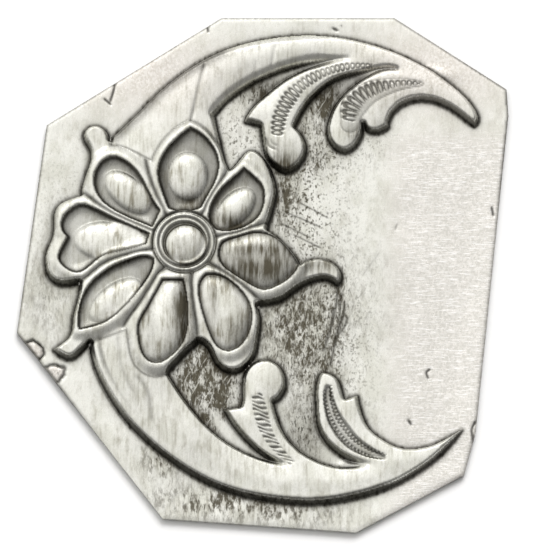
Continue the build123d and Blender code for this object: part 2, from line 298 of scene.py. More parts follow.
def beside(points, margin):
    """Position along a curve and across it (left positive), and its length, in mm.

    Only grid points within the margin of the curve's box are worked out. The others get large values.
    """
    far = 99.0
    line = flowing(points)
    steps = np.diff(line, axis=0)
    lengths = np.hypot(steps[:, 0], steps[:, 1])
    travelled = np.concatenate([[0], np.cumsum(lengths)])
    along = np.full(X.shape, far)
    across = np.full(X.shape, far)
    near = (X > line[:, 0].min() - margin) & (X < line[:, 0].max() + margin)
    near &= (Y > line[:, 1].min() - margin) & (Y < line[:, 1].max() + margin)
    px = X[near]
    py = Y[near]
    best = np.full(px.shape, math.inf)
    best_along = np.zeros(px.shape)
    best_across = np.zeros(px.shape)
    for k in range(len(steps)):
        rx = px - line[k, 0]
        ry = py - line[k, 1]
        t = (rx * steps[k, 0] + ry * steps[k, 1]) / lengths[k] ** 2
        # the first and last steps run on past the curve's ends
        low_t = -9.0 if k == 0 else 0.0
        high_t = 9.0 if k == len(steps) - 1 else 1.0
        t = np.clip(t, low_t, high_t)
        dx = rx - t * steps[k, 0]
        dy = ry - t * steps[k, 1]
        gap = np.hypot(dx, dy)
        side = np.where(steps[k, 0] * dy - steps[k, 1] * dx > 0, 1.0, -1.0)
        closer = gap < best
        best = np.where(closer, gap, best)
        best_along = np.where(closer, travelled[k] + t * lengths[k], best_along)
        best_across = np.where(closer, side * gap, best_across)
    along[near] = best_along
    across[near] = best_across
    return along, across, travelled[-1]


def line_mask(points, width):
    """1 on a thin line, falling softly to 0 at half its width away."""
    along, across, length = beside(points, width + 0.5)
    ends = ramp(along, -width, width) * ramp(length - along, -width, width)
    return crest(across, 0.0, 0.5 * width) * ends


def broad_line(points, half_width):
    """1 along a curve, falling evenly to 0 at the half-width."""
    along, across, length = beside(points, half_width + 1.0)
    ends = ramp(along, -1.0, 1.5) * ramp(length - along, -1.0, 1.5)
    return ramp(half_width - np.abs(across), 0.0, half_width) * ends


def spot(centre, size):
    """A soft round or oval spot, size as half-widths in mm."""
    return np.exp(-(((X - centre[0]) / size[0]) ** 2) - ((Y - centre[1]) / size[1]) ** 2)


def lines(rows):
    """The sum of thin lines, each given as strength, width in mm and points."""
    return sum(strength * line_mask(points, width) for strength, width, points in rows)


def spots(*rows):
    """The sum of soft spots, each given as strength, centre and half-widths in mm."""
    return sum(strength * spot(centre, size) for strength, centre, size in rows)


def weighed(*rows):
    """The sum of maps, each given as weight and map."""
    return sum(weight * part for weight, part in rows)


# -------------------------------- curves and places
# Long slopes of the arms, along the wall
UPPER_ARM_INNER = [(-5.5, 18.0), (-4.4, 19.8), (-2.2, 21.9), (1.0, 23.4), (4.5, 24.4), (8.0, 25.0)]
UPPER_ARM_OUTER = [(-17.2, 15.0), (-15.2, 18.0), (-12.3, 20.9), (-8.9, 23.7), (-4.0, 26.4)]
HORN_UNDERSIDE = [(14.6, 18.6), (16.4, 20.2), (18.6, 20.4), (21.0, 19.5), (23.4, 17.6)]
LOWER_ARM_OUTER = [(-19.2, -8.0), (-18.2, -13.1), (-16.4, -16.6), (-13.9, -19.8), (-11.2, -22.3),
                   (-8.2, -24.1), (-4.6, -25.6), (-0.3, -26.6), (5.3, -27.0), (10.0, -26.5), (14.4, -25.0)]

# Where the channels between the leaves run out
CHANNEL_TIPS = (
    (1.0, (10.0, 24.9), (4.0, 0.9)),
    (1.0, (15.2, 23.3), (3.8, 0.8)),
    (1.0, (2.8, -22.6), (2.0, 1.1)),
    (1.0, (12.0, -22.6), (2.4, 0.8)),
)

# The domed pillow in each deep well: centre, half-length, half-width, and turn in degrees
PILLOWS = [
    ((-8.5, 11.2), 2.8, 2.25, 90),
    ((-15.3, 9.3), 3.2, 1.75, -42),
    ((-17.2, 3.5), 4.2, 2.35, -6),
    ((-16.7, -3.3), 3.5, 1.75, 38),
    ((-3.2, 7.4), 2.9, 1.65, 47),
]

# Middle line of the matting on each leaf, and half-widths at even steps along it
LEAF_1 = [(1.6, 15.9), (1.9, 18.0), (2.9, 20.1), (4.3, 21.7), (5.9, 22.8), (7.5, 23.5), (9.0, 23.9),
          (10.6, 24.1), (12.4, 24.1)]
LEAF_1_HALF = (0.62, 0.78, 0.80, 0.66, 0.50, 0.38, 0.2)
LEAF_1_PITCH = 0.58
LEAF_2 = [(9.9, 17.6), (10.2, 19.1), (11.2, 20.4), (12.6, 21.2), (14.2, 21.7), (15.9, 22.0), (17.9, 22.0)]
LEAF_2_HALF = (0.85, 1.20, 1.15, 0.90, 0.64, 0.44, 0.15)
LEAF_2_FRAME_HALF = (1.05, 1.45, 1.40, 1.12, 0.84, 0.58, 0.25)
LEAF_2_PITCH = 0.66
LEAF_3 = [(-0.7, -14.3), (-0.3, -16.2), (0.2, -18.1), (1.0, -19.8), (2.1, -21.2), (3.3, -22.4)]
LEAF_3_HALF = (0.60, 0.85, 0.78, 0.64, 0.50, 0.35)
LEAF_3_PITCH = 0.52
LEAF_3_STROKE = 0.15
LEAF_4 = [(7.3, -13.6), (7.5, -15.2), (8.0, -16.9), (8.9, -18.5), (10.2, -20.0), (11.8, -21.0),
          (13.6, -21.7)]
LEAF_4_FRAME_HALF = (0.30, 0.62, 0.85, 0.95, 0.85, 0.6, 0.25)
LEAF_4_PITCH = 0.46
# the fourth leaf has two rows beside its middle line: shift and half-widths of each
LEAF_4_ROWS = [
    ((-0.32, -0.25), (0.2, 0.3, 0.36, 0.4, 0.36, 0.25, 0.12)),
    ((0.38, 0.3), (0.2, 0.3, 0.34, 0.36, 0.32, 0.25, 0.12)),
]

# Lines in the metal: strength, width and points
CREASES = [
    (1.0, 0.30, [(-6.7, 24.3), (-7.2, 21.9), (-7.7, 19.6), (-8.2, 17.6)]),
    (0.6, 0.28, [(1.5, 26.6), (1.1, 24.7), (0.9, 22.9)]),
    (0.5, 0.28, [(-0.8, 24.6), (-0.9, 23.0), (-1.2, 21.8)]),
    (1.0, 0.32, [(0.3, 15.6), (0.7, 14.7), (1.5, 14.3)]),
    (0.8, 0.28, [(0.9, 15.5), (1.1, 15.0), (1.7, 14.7)]),
    (0.6, 0.45, [(-14.2, -12.2), (-12.9, -14.3), (-12.5, -17.6)]),
    (0.4, 0.40, [(-16.4, -7.6), (-16.0, -11.0), (-14.6, -14.2)]),
]
CRACKS = [
    (1.0, 0.22, [(-16.7, 22.9), (-16.9, 21.6), (-17.3, 20.2)]),
    (1.0, 0.22, [(-18.0, 20.6), (-17.2, 19.9)]),
    (1.0, 0.20, [(-6.3, 29.6), (-6.2, 28.4)]),
    (1.0, 0.24, [(25.9, 7.9), (26.1, 6.8)]),
    (1.0, 0.22, [(18.9, -11.1), (18.5, -11.5), (18.7, -12.2)]),
    (0.4, 0.22, [(15.2, 5.9), (15.0, 5.2)]),
    (1.0, 0.22, [(24.0, -17.2), (23.6, -18.3), (23.9, -20.0)]),
    (1.0, 0.3, [(16.4, -17.0), (16.8, -17.6)]),
    (1.0, 0.3, [(7.9, 28.9), (8.5, 28.6)]),
]
SCRATCHES = [
    (1.0, 0.20, [(2.4, 7.4), (6.4, 5.6)]),
    (1.0, 0.20, [(2.2, 5.9), (5.4, 4.3)]),
    (1.0, 0.20, [(3.4, 4.7), (6.6, 3.1)]),
    (1.0, 0.18, [(4.2, 8.4), (7.4, 6.6)]),
    (0.4, 0.20, [(13.2, 2.6), (11.2, -0.2)]),
]
# five long ones stand side by side right of the flower and lean a little
for aside, first, last in ((-0.5, -4.0, -9.0), (0.0, -1.6, -7.5), (0.35, -2.2, -10.4), (0.75, -3.4, -8.0),
                           (1.1, -5.0, -7.2)):
    middle = 0.5 * (first + last)
    SCRATCHES.append((1.4, 0.28, [(8.5 + aside, first), (8.1 + aside, middle), (7.3 + aside, last)]))
DOTS = [(4.8, 8.6), (7.3, 7.2), (5.0, 6.3), (9.8, 4.8), (5.6, 2.6), (-20.5, 9.0), (-21.5, -1.5), (8.9, 29.2)]
DOT_SIZE = (0.13, 0.13)

# -------------------------------- where things are
cad_height, lean = survey(SHEET_NODE)
flaked = np.zeros(X.shape, bool)
for flake in FLAKE_NODES:
    flaked |= survey(flake)[0] > METAL
plate = (cad_height > METAL) | flaked
plate = inside(reach(plate, 2 * CRACK_CLOSING) < CRACK_CLOSING, 2 * CRACK_CLOSING) > CRACK_CLOSING
level = lean > FLAT_LEAN
raised = cad_height > RAISED
ridge = level & (np.abs(cad_height - RIDGE) < LEVEL_SLACK)
floor_of_wells = patches(level & (np.abs(cad_height - WELL) < LEVEL_SLACK), SMALLEST_WELL)

# the boss is all that stands above the ridges
tall = cad_height > RIDGE + LEVEL_SLACK
boss_at = (X[tall].mean(), Y[tall].mean())
from_boss = np.hypot(X - boss_at[0], Y - boss_at[1])
from_dome = np.hypot(X - boss_at[0] - DOME_SHIFT[0], Y - boss_at[1] - DOME_SHIFT[1])
boss_disc = from_boss < BOSS_R

# a pillow is a small patch that stands alone in its well, and a scroll is a large one
pillow = patches(raised & ~ridge & ~floor_of_wells & ~boss_disc, SMALLEST_PILLOW, LARGEST_PILLOW)
well = (pillow | floor_of_wells) & ~boss_disc
flower = ridge | well | boss_disc
scroll = raised & ~flower
petals = islands(well)

to_raised = inside(raised, 1.6)
to_flower = inside(flower, 1.2)
to_well = inside(well, 1.6)
to_rim = reach(~plate, RIM_REACH)
low_ground = 1 - ramp(to_raised, -0.3, 0.2)


# -------------------------------- walls and scrolls
def upper_arm_slope():
    """1 along the upper arm's inner wall, which slopes broadly, and a little on the horn's underside."""
    along, across, length = beside(UPPER_ARM_INNER, 6.0)
    band = ramp(across, -0.9, -0.3) * ramp(across, 6.0, 1.5)
    ends = ramp(along, -1.0, 1.5) * ramp(length - along, -1.0, 4.0)
    return np.clip(band * ends + HORN_SHARE * broad_line(HORN_UNDERSIDE, 2.0), 0, 1)


def walls():
    """How far up its wall each point stands: 0 at the foot and on the field, 1 from the shoulder on."""
    broad = np.clip(inner_slope + OUTER_SHARE * outer_slope, 0, 1)
    top_at = WALL_TOP + (WALL_TOP_WIDE - WALL_TOP) * broad
    share = np.clip((to_raised + WALL_FOOT) / (top_at + WALL_FOOT), 0, 1)
    rise = share * share * (3 - 2 * share)
    rise += inner_slope * (1 - (1 - share) ** WIDE_BULGE - rise)
    return 1 - (1 - rise) * (1 - SHOAL_FILL * shoal)


def scroll_form():
    """Height of the scrolls' crowns, with the lip and groove along the lower arm."""
    crown = blur(1 - (1 - arm_depth) ** 2.2, 0.3)
    lip = crest(to_raised, WALL_TOP + 0.2, 0.25) * outer_slope
    return ARM_EDGE + ARM_CROWN * crown + ARM_LIP * lip - LIP_GROOVE_DEPTH * lip_groove


inner_slope = upper_arm_slope()
outer_slope = broad_line(LOWER_ARM_OUTER, 2.2)
shoal = np.clip(spots(*CHANNEL_TIPS), 0, 1)
wall = walls()
arm_depth = np.clip(reach(~raised, ARM_HALF) / ARM_HALF, 0, 1)
lipped = outer_slope * ramp(Y, -19.5, -13.5)
lip_groove = crest(to_raised, LIP_GROOVE_AT, LIP_GROOVE_HALF) * lipped


# -------------------------------- the flower
def petal_swell():
    """How each petal would swell under even pressure, 0 at its edge to 1 at its own crest."""
    rise = np.maximum(0, swell(well, 0.3, 60))
    for petal in petals:
        rise[petal] /= rise[petal].max()
    return rise


def seams():
    """1 in the valley halfway between two petals, falling softly to 0."""
    nearest = np.full(X.shape, PETAL_REACH)
    second = nearest.copy()
    for petal in petals:
        gap = reach(petal, PETAL_REACH)
        second = np.minimum(second, np.maximum(nearest, gap))
        nearest = np.minimum(nearest, gap)
    return crest(second - nearest, 0.0, SEAM_HALF) * ridge * ramp(nearest, 2.2, 1.2)


def pillow_shares():
    """How far up its pillow each point stands: 1 at the crest, 0 at its foot and outside."""
    share = np.zeros(X.shape)
    for (centre_x, centre_y), half_length, half_width, turn in PILLOWS:
        cosine = math.cos(math.radians(turn))
        sine = math.sin(math.radians(turn))
        lengthwise = ((X - centre_x) * cosine + (Y - centre_y) * sine) / half_length
        crosswise = ((Y - centre_y) * cosine - (X - centre_x) * sine) / half_width
        share = np.maximum(share, 1 - lengthwise**2 - crosswise**2)
    return share


def deep_petals():
    """The petals that hold a pillow, a little widened. The others are full domes."""
    deep = np.zeros(X.shape, bool)
    for petal in petals:
        if pillow_share[petal].max() > 0.5:
            deep |= reach(petal, 0.4) < 0.3
    return deep


def petal_form():
    """Height inside the petals: a moat with a pillow in it, or a groove round a full dome."""
    moat = RIDGE - (RIDGE - GROOVE) * np.clip(petal_rise / MOAT_SHARE, 0, 1) ** ROUND_POWER
    deep_well = moat + (PILLOW_CREST - GROOVE) * np.sqrt(pillow_share)
    groove = FULL_GROOVE * np.clip(petal_rise / DOME_SHARE, 0, 1) ** ROUND_POWER
    full_well = RIDGE - groove + FULL_DOME * full_share**ROUND_POWER
    return blur(np.where(deep, deep_well, full_well), 0.12)


def boss_form():
    """Height of the boss: a double ring, a groove, and a dome set a little off centre."""
    rings = sum(rise * crest(from_boss, radius, half) for rise, radius, half in BOSS_RINGS)
    dome = DOME_RISE * np.clip(1 - (from_dome / DOME_R) ** 2, 0, 1) ** DOME_POWER
    return BOSS_FLOOR + rings + dome


petal_rise = petal_swell()
full_share = np.clip((petal_rise - DOME_SHARE) / (1 - DOME_SHARE), 0, 1)
pillow_share = pillow_shares()
deep = deep_petals()
seam = seams()
petal_rim = RIDGE + RIM_LIP - RIM_FALL * ramp(-to_well, 0.3, 1.5) - SEAM_DEPTH * blur(seam, 0.08)

# the heights one over another, each blended in at its own edge
top = scroll_form()
for form, share in (
    (petal_rim, ramp(to_flower, -STEP_RUN, STEP_RUN)),
    (petal_form(), ramp(to_well, -0.07, 0.17)),
    (boss_form(), ramp(BOSS_R - from_boss, -0.1, 0.25)),
):
    top = top * (1 - share) + form * share
relief = FIELD + wall * (top - FIELD)
dome_share = np.where(deep, pillow_share, full_share)


# -------------------------------- matting marks
def taper(along, length, widths):
    """Half-width of a band along its length, from widths set at even steps."""
    return np.interp(along / length, np.linspace(0, 1, len(widths)), widths)


def ladder(points, widths, pitch, open_side=0.0):
    """Depth, 0 to 1, of a row of struck ovals on a band. An open side makes them U shapes."""
    along, across, length = beside(points, 1.6)
    half = taper(along, length, widths)
    cell = np.floor(along / pitch)
    uneven = 0.5 * np.sin(cell * 12.9) + 0.5 * np.sin(cell * 7.3)
    forward = (along / pitch - cell - 0.5 + 0.10 * uneven) / 0.46
    half = half * (1 + 0.10 * uneven)
    sideways = across / half
    depth = crest(np.hypot(forward, sideways), 0.85, 0.26)
    if open_side:
        depth *= ramp(sideways * open_side, -0.9, -0.2)
    within = (along > 0) & (along < length) & (np.abs(across) < half * 1.25)
    return depth * within * (0.85 + 0.25 * uneven)


def dashes(points, widths, pitch, thick):
    """Depth, 0 to 1, of a row of short, slightly slanting strokes on a band."""
    along, across, length = beside(points, 1.6)
    half = taper(along, length, widths)
    slant = Y + 0.30 * across + 0.10 * np.sin(2.3 * Y + 4.0 * across)
    offset = (slant / pitch) % 1.0 - 0.5
    depth = crest(offset * pitch, 0.0, thick) * ramp(half - np.abs(across), -0.05, 0.12)
    depth *= 0.8 + 0.2 * np.sin(5.1 * along)
    return depth * ((along > 0) & (along < length))


def panel(points, widths):
    """Signed distance in mm from the edge of a band with rounded ends, positive inside it."""
    along, across, length = beside(points, 2.0)
    half = taper(np.clip(along, 0, length), length, widths)
    past = np.maximum(0, np.maximum(-along, along - length))
    return half - np.hypot(across, past)


struck = ladder(LEAF_1, LEAF_1_HALF, LEAF_1_PITCH)
struck += ladder(LEAF_2, LEAF_2_HALF, LEAF_2_PITCH, open_side=1.0)
struck += dashes(LEAF_3, LEAF_3_HALF, LEAF_3_PITCH, LEAF_3_STROKE)
for (aside, up), row_half in LEAF_4_ROWS:
    row = [(x + aside, y + up) for x, y in LEAF_4]
    struck += ladder(row, row_half, LEAF_4_PITCH, open_side=-1.0)
struck = np.clip(struck, 0, 1)
leaf_2_inner = panel(LEAF_2, LEAF_2_FRAME_HALF)
leaf_2_line = crest(leaf_2_inner, 0.0, 0.10)
leaf_4_sunk = ramp(panel(LEAF_4, LEAF_4_FRAME_HALF), -0.12, 0.25)
relief -= MARK_DEPTH * struck + 0.5 * MARK_DEPTH * leaf_2_line + PANEL_DEPTH * leaf_4_sunk

# -------------------------------- creases, cracks, front and back
ragged = 0.05 * np.sin(5 * X) * np.sin(4 * Y)
torn = crest(inside(flaked, 0.8) + ragged, -0.06, 0.23) * ramp(to_rim, 0.0, 0.25)
crease = np.clip(lines(CREASES), 0, 1)
crack = np.clip(lines(CRACKS) + torn, 0, 1)
relief -= CREASE_DEPTH * crease + CRACK_DEPTH * crack

curl_here = RIM_CURL_TOP + (RIM_CURL - RIM_CURL_TOP) * ramp(Y, 12.0, -18.0)
curl = curl_here * ramp(to_rim, RIM_REACH, 0.0)
roll = EDGE_ROLL * ramp(to_rim, EDGE_RUN, 0.0) ** 2
random = np.random.default_rng(WAVE_SEED)
dimple = blur(random.standard_normal(X.shape), WAVE_LENGTH)
dimple *= FIELD_WAVE / dimple.std()
height = blur(relief, 0.05) + curl - roll + dimple * ramp(to_rim, 0.2, 2.0)
back = np.maximum(blur(relief, BACK_BLUR) - FIELD, 0) + curl
back = np.minimum(back, height - THINNEST)

# -------------------------------- painted maps, 0 to 1, and the stain with its painted light to 1.5
STAIN_AND_LIGHT_MOST = 1.5
well_line = crest(to_well, 0.12, 0.15)
boss_lines = 1.1 * crest(from_dome, DOME_R, 0.17) + 0.9 * crest(from_boss, BOSS_R, 0.17)
boss_lines += 0.8 * crest(from_boss, BOSS_GROOVE_R, 0.11)
in_well = to_well > 0
moat_shade = deep * (dome_share < 0.05) * ramp(to_well, 0.0, 0.4) * (0.3 + 0.7 * ramp(X, -19.5, -11.0))


scratch = np.clip(lines(SCRATCHES), 0, 1)


def settled_patina_and_shade():
    """Black patina left in hollows and in the struck marks, partly painted shadow at the feet of walls and
    pillows, and painted shade on steep walls, most on walls facing south and on the lower arm's outer wall.
    """
    slope_y, slope_x = np.gradient(height, PITCH)
    patina_and_shade = weighed(
        (0.35, np.clip((blur(height, 0.35) - height) / 0.14, 0, 1)),
        (0.12, np.clip((blur(height, 1.0) - height) / 0.45, 0, 1)),
        # patina at the feet of walls and pillows, darkened further as painted shadow
        (0.70, crest(to_raised, -WALL_FOOT, 0.19) * (1 - shoal)),
        (0.22, crest(dome_share, 0.0, 0.16) * deep * in_well),
        (0.25, moat_shade),
        (0.95, well_line),
        (0.70, crest(to_flower, -STEP_RUN, 0.14) * scroll),
        (0.90, boss_lines),
        (1.00, struck),
        (0.35, blur(struck, 0.25)),
        (0.65, leaf_2_line),
        (0.30, ramp(leaf_2_inner, 0.0, 0.3)),
        (0.35, leaf_4_sunk),
        (0.60, crease),
        # painted shade: the lower arm's outer wall, steep walls (partly patina too) and walls facing south
        (0.65, (outer_slope - lipped) * ramp(to_raised, -0.1, 0.1) * ramp(to_raised, 1.0, 0.6)),
        (0.32, ramp(np.hypot(slope_x, slope_y), 0.9, 2.2)),
        (0.30, ramp(slope_y, 0.5, 1.5) * (1 - 0.7 * np.clip(1.5 * inner_slope, 0, 1))),
    )
    return patina_and_shade * (1 - 0.8 * inner_slope * wall) * (1 - 0.5 * shoal)


def patina_and_shade_map():
    """The settled patina and painted shade, the cracks and scratches, the channels, the upper arm's outer
    slope darkened, and the plate's edge darker at the upper left and the right.
    """
    channel = spots(
        (1.0, (7.2, 21.6), (3.4, 1.9)),
        (1.0, (1.5, 21.8), (4.5, 1.5)),
        (0.7, (4.8, -18.6), (2.0, 3.6)),
    )
    rim_edge = ramp(to_rim, 0.35, 0.05)
    patina_and_shade = settled_patina_and_shade() + weighed(
        (0.95, crack),
        (0.75, lip_groove),
        (0.80, seam),
        (0.55, channel * low_ground),
        (0.80, scratch),
        (0.80, sum(spot(place, DOT_SIZE) for place in DOTS)),
        (0.85, broad_line(UPPER_ARM_OUTER, 3.4) * ramp(arm_depth * ARM_HALF, 1.7, 0.5) * scroll),
        (0.90, rim_edge * ramp(Y - 0.6 * X, -12.0, 2.0)),
        (0.60, rim_edge * ramp(X, 18.0, 24.0)),
        (-0.20, spot((-2.8, 16.0), (1.8, 4.5)) * low_ground),
    )
    return np.clip(patina_and_shade, 0, 1)


def tarnish_and_dome_shade_map():
    """Dull patches on the raised work, and painted shade on the sides of the lower and lower-right domes."""
    return 0.18 * crest(from_dome, 0.0, 2.0) + spots(
        (0.25, (-8.4, 10.6), (2.2, 2.0)),
        (0.30, (2.2, 13.6), (2.2, 2.0)),
        (0.20, (-10.6, -5.0), (2.0, 3.6)),
        (0.15, (-13.0, -13.5), (3.5, 5.0)),
        (0.12, (-6.0, -21.5), (5.0, 3.0)),
        (0.15, (-4.4, -5.0), (2.0, 3.0)),
        (1.10, (-0.2, 0.9), (4.2, 2.3)),
        (0.35, (-0.3, 2.6), (3.0, 0.7)),
        # painted shade: the sides of the lower and lower-right domes, round their painted highlights
        (0.90, (-9.0, -4.4), (1.0, 4.2)),
        (0.40, (-12.6, -5.5), (0.8, 3.0)),
        (0.55, (-2.6, -7.2), (1.6, 1.6)),
        (0.55, (-5.2, -3.0), (0.8, 3.0)),
        (0.80, (2.4, 12.2), (2.0, 1.3)),
        (0.50, (10.6, 16.2), (1.2, 0.9)),
        (0.40, (14.0, 17.4), (1.6, 0.8)),
        (0.90, (-3.8, 5.7), (2.0, 1.1)),
        (0.60, (-8.5, 8.3), (2.0, 1.0)),
        (0.50, (6.8, 0.9), (2.2, 1.2)),
    )


def stain_and_painted_light_map():
    """Brown-black stain: strong on the low ground beside the flower, faint on the raised work, where it also
    carries painted shade on the domes' sides; painted highlights are taken out of it.
    """
    ground = spots(
        (1.80, (-6.2, -12.6), (3.6, 5.2)),
        (0.95, (3.6, -6.5), (3.4, 5.5)),
        (0.60, (7.0, -11.5), (1.8, 4.0)),
        (1.10, (2.6, 9.5), (1.5, 4.0)),
        (0.55, (5.9, 14.3), (2.6, 3.0)),
        (0.12, (-2.6, 16.2), (2.4, 3.4)),
        (0.50, (4.6, -18.4), (2.4, 3.8)),
        (0.45, (7.6, 20.0), (2.0, 2.5)),
        (0.40, (8.6, -2.2), (0.8, 5.0)),
        (0.15, (-22.0, -4.0), (4.0, 5.0)),
        (0.25, (8.0, -3.0), (6.0, 6.0)),
        (0.90, (6.4, 20.6), (2.8, 2.2)),
        (0.80, (0.2, 21.0), (3.6, 1.6)),
        (0.60, (3.4, 18.6), (1.6, 1.6)),
        (0.20, (-25.0, -1.5), (2.6, 7.0)),
    )
    ground -= 0.9 * line_mask([(-6.9, -15.0), (-5.0, -17.2), (-2.8, -19.3)], 1.0)
    raised_work = weighed(
        (1.20, tarnish_and_dome_shade_map()),
        (0.10, inner_slope),
        (0.35, ramp(to_well, 0.8, 0.15) * in_well),
        # painted highlight: a lighter band across the right petal
        (-0.45, spot((-0.6, 1.4), (2.6, 0.8))),
    )
    stain_and_painted_light = ground * low_ground + raised_work * wall + 0.22 * moat_shade * ramp(X, -27.0, -12.0)
    # the painted highlights on the domes lighten it
    return np.clip(np.clip(stain_and_painted_light, 0, STAIN_AND_LIGHT_MOST) - 0.6 * painted_highlights, 0, STAIN_AND_LIGHT_MOST)


def smear_map():
    """Smears of black on the rim below the lower arm."""
    return 1.3 * low_ground * spots(
        (1.0, (-5.0, -26.6), (7.5, 1.9)),
        (0.9, (-11.6, -21.6), (2.2, 2.6)),
        (0.6, (4.5, -28.0), (6.0, 1.5)),
    )


def streak_map():
    """Where polishing left dark streaks: domes, walls, stained ground and the dull part of the rim."""
    domed = np.clip(ramp(dome_share, 0.0, 0.3) * in_well + (from_dome < DOME_R), 0, 1)
    dull_rim = low_ground * ramp(to_rim, 0.12, 0.45) * spots(
        (0.75, (-15.5, -18.0), (5.0, 6.0)),
        (0.75, (0.0, -27.5), (11.0, 1.8)),
        (0.40, (-22.0, -2.0), (4.0, 7.0)),
    )
    streak = weighed(
        (0.85, domed * np.clip(1 - painted_highlights, 0, 1)),
        (0.42, wall),
        (0.50, stain_and_painted_light),
        (0.30, smear),
        (1.00, dull_rim),
    )
    return np.clip(streak, 0, 1)


def fleck_map():
    """Where the ground is speckled."""
    fleck = spots(
        (1.0, (4.5, 9.0), (4.5, 7.5)),
        (1.0, (6.5, -8.0), (5.0, 9.5)),
        (0.2, (-22.0, 6.0), (4.0, 9.0)),
        (0.8, (8.0, 15.5), (5.0, 2.5)),
        (0.7, (-3.0, 16.0), (2.5, 4.0)),
    )
    return np.clip(fleck * low_ground, 0, 1)


def buff_map():
    """Where the metal looks warmer and grainy: the upper rim, the brushed field and the flakes."""
    corners = spots((1.0, (-14.0, 24.0), (9.0, 5.0)), (1.0, (20.0, 24.0), (9.0, 5.0)))
    return np.clip(corners + 0.7 * brushed + 0.9 * flaked, 0, 1)


# painted highlights on the lower and lower-right domes and on the top pillow
painted_highlights = spots(
    (1.0, (-11.6, -3.9), (1.0, 2.3)),
    (1.0, (-4.6, -4.0), (0.9, 1.9)),
    (0.6, (-8.8, 10.8), (1.4, 1.6)),
)
patina_and_shade = patina_and_shade_map()
stain_and_painted_light = stain_and_painted_light_map()
smear = smear_map()
brushed = low_ground * ramp(X, 12.5, 17.5) * ramp(20.0 - Y, 2.0, 6.0)
# the maps the material reads; the patina map carries painted shade, the stain map painted shade and
# highlights
maps = {
    "patina_and_shade": patina_and_shade,
    "stain_and_painted_light": stain_and_painted_light,
    "smear": smear,
    "streak": streak_map(),
    "brushed": brushed,
    "buff": buff_map(),
    "fleck": fleck_map(),
    "low_ground": low_ground,
}


# -------------------------------- meshes
def placed(name, data):
    """A new object in the scene."""
    made = bpy.data.objects.new(name, data)
    bpy.context.scene.collection.objects.link(made)
    return made


def outer_loop(node):
    """Corners of a CAD node's outline at its bottom, in order, in mm."""
    shape = bmesh.new()
    shape.from_mesh(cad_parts[node].data)
    bmesh.ops.remove_doubles(shape, verts=shape.verts, dist=1e-7)
    edges = []
    for edge in shape.edges:
        if max(v.co.z for v in edge.verts) < 1e-6 and len(edge.link_faces) == 2:
            leans = sorted(face.normal.z for face in edge.link_faces)
            if leans[0] < -0.9 and abs(leans[1]) < 0.1:
                edges.append(edge)
    start = min(edges, key=lambda e: e.verts[0].co.x)
    loop = [start.verts[0], start.verts[1]]
    unused = set(edges) - {start}
    while True:
        following = [e for e in loop[-1].link_edges if e in unused]
        if not following:
            break
        unused.discard(following[0])
        loop.append(following[0].other_vert(loop[-1]))
        if loop[-1] is loop[0]:
            break
    corners = np.array([(v.co.x / MM, v.co.y / MM) for v in loop[:-1]])
    shape.free()
    return corners


def closely(corners, spacing):
    """A closed outline with points no further apart than about the spacing."""
    points = []
    for here, there in zip(corners, np.roll(corners, -1, axis=0)):
        count = max(1, int(np.hypot(*(there - here)) / spacing))
        for t in np.linspace(0, 1, count, endpoint=False):
            points.append(here + (there - here) * t)
    return np.array(points)


def lattice(mask, stride):
    """Grid points of the mask, one in so many each way, as points in mm."""
    thinned = np.zeros(mask.shape, bool)
    thinned[::stride, ::stride] = True
    thinned &= mask
    return np.column_stack([X[thinned], Y[thinned]])


def graded(masks, strides):
    """The points of several masks together, each with its own stride."""
    return np.vstack([lattice(mask, stride) for mask, stride in zip(masks, strides)])


def front_points():
    """Points inside the front's outline, closest along thin lines and furthest apart on the bare field."""
    uneven_height = np.abs(height - blur(height, 0.16)) / 0.012
    uneven_paint = np.abs(patina_and_shade - blur(patina_and_shade, 0.16)) / 0.12
    busy = blur(np.maximum(uneven_height, uneven_paint), 0.1)
    thin = (blur(struck, 0.12) > 0.12) | (np.abs(to_raised + 0.1) < 0.22) | (crack > 0.1)
    thin |= (scratch > 0.15) | (boss_lines > 0.3) | ((well_line > 0.4) & well) | (seam > 0.3)
    finest = clear_of_rim & thin
    fine = clear_of_rim & (busy > BUSY) & ~finest
    middle = clear_of_rim & (busy > LESS_BUSY) & ~fine & ~finest
    coarse = clear_of_rim & ~middle & ~fine & ~finest
    return graded((finest, fine, middle, coarse), FRONT_STRIDES)


def back_points():
    """Points inside the back's outline."""
    busy = blur(np.abs(back - blur(back, 0.3)) / 0.02, 0.2)
    fine = clear_of_rim & (busy > 0.5)
    return graded((fine, clear_of_rim & ~fine), BACK_STRIDES)


def skin(outline, inner):
    """Triangles that fill an outline through the inner points, and where each vertex came from."""
    points = [Vector(p) for p in np.vstack([outline, inner])]
    ring = list(range(len(outline)))
    verts, _, faces, origins, _, _ = delaunay_2d_cdt(points, [], [ring], 1, 1e-6)
    return np.array([tuple(v) for v in verts]), faces, [o[0] if o else -1 for o in origins]


def paint_maps(mesh, upper, under_rim):
    """The painted maps on a mesh's vertices: the front's own, one tone behind, the rim's down its edge."""
    for map_name, values in maps.items():
        painted = np.full(len(mesh.vertices), BACK_TONE)
        painted[: len(upper)] = at(values, upper)
        for above, below in under_rim:
            painted[below] = painted[above]
        attribute = mesh.attributes.new(map_name, "FLOAT", "POINT")
        attribute.data.foreach_set("value", painted.astype(np.float32))


